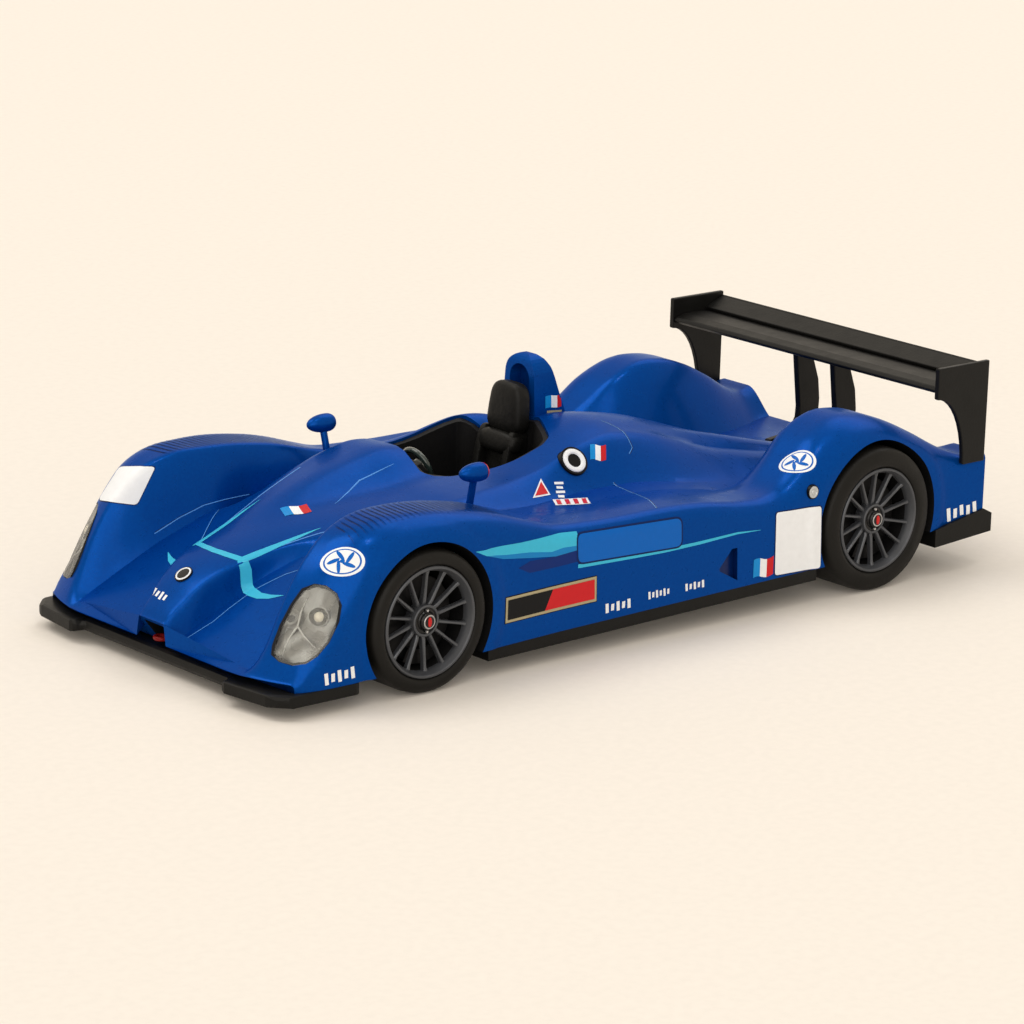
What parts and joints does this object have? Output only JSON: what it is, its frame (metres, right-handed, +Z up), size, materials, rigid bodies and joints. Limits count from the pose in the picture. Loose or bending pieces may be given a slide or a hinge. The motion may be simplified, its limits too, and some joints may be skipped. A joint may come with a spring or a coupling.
{
  "type": "scale model sports prototype race car",
  "caption": "Open-cockpit sports prototype racing car as a small display model: low blue body, black wing on curved struts, splitter, diffuser and wheels that turn on steel axle pins.",
  "frame": {"origin": "on the table, under the middle of the model's bounding box", "axes": "+X forward to the nose, +Y to the car's left, +Z up"},
  "size_m": [0.106, 0.046, 0.026],
  "materials": {
    "body_paint": "deep blue metallic satin paint",
    "hoop_paint": "blue painted plastic",
    "mirror_paint": "blue painted plastic",
    "floor_black": "satin black moulded plastic",
    "splitter_black": "charcoal moulded plastic",
    "diffuser_black": "satin black moulded plastic",
    "tub_black": "matt black moulded plastic",
    "seat_black": "matt black moulded plastic",
    "dash_black": "matt black moulded plastic",
    "wheel_grip": "matt black moulded plastic",
    "lamp_seat": "black lamp seat",
    "lamp_cover": "clear moulded plastic",
    "wing_black": "satin black moulded plastic",
    "strut_black": "satin black moulded plastic",
    "cap_metal": "silver painted",
    "tow_red": "red painted plastic",
    "tail_red": "red painted plastic",
    "axle_steel": "plain drawn steel",
    "rim_grey": "graphite painted plastic",
    "tyre_black": "matt black slick tyre",
    "nut_metal": "black and bright plated",
    "brake_grey": "dark grey moulded plastic"
  },
  "bodies": {
    "chassis": {"body_shell": "body_paint", "floor_pan": "floor_black", "splitter": "splitter_black", "diffuser": "diffuser_black", "cockpit_tub": "tub_black", "seat": "seat_black", "dash": "dash_black", "steering_wheel": "wheel_grip", "roll_hoop": "hoop_paint", "headlight_bucket_left": "lamp_seat", "headlight_bucket_right": "lamp_seat", "headlight_lens_left": "lamp_cover", "headlight_lens_right": "lamp_cover", "mirror_left": "mirror_paint", "mirror_right": "mirror_paint", "wing": "wing_black", "end_plate_left": "wing_black", "end_plate_right": "wing_black", "strut_left": "strut_black", "strut_right": "strut_black", "nose_lens": "lamp_cover", "filler_caps": "cap_metal", "tow_eye": "tow_red", "tail_lights": "tail_red"},
    "front_axle": {"axle_front": "axle_steel", "rim_front_left": "rim_grey", "rim_front_right": "rim_grey", "tyre_front_left": "tyre_black", "tyre_front_right": "tyre_black", "nuts_front": "nut_metal", "brakes_front": "brake_grey"},
    "rear_axle": {"axle_rear": "axle_steel", "rim_rear_left": "rim_grey", "rim_rear_right": "rim_grey", "tyre_rear_left": "tyre_black", "tyre_rear_right": "tyre_black", "nuts_rear": "nut_metal", "brakes_rear": "brake_grey"}
  },
  "joints": [
    {"name": "front_axle_spin", "type": "hinge", "parent": "chassis", "child": "front_axle", "pos_m": [0.0327, 0, 0.0078], "axis": [0, 1, 0], "continuous": true},
    {"name": "rear_axle_spin", "type": "hinge", "parent": "chassis", "child": "rear_axle", "pos_m": [-0.0341, 0, 0.0084], "axis": [0, 1, 0], "continuous": true}
  ]
}
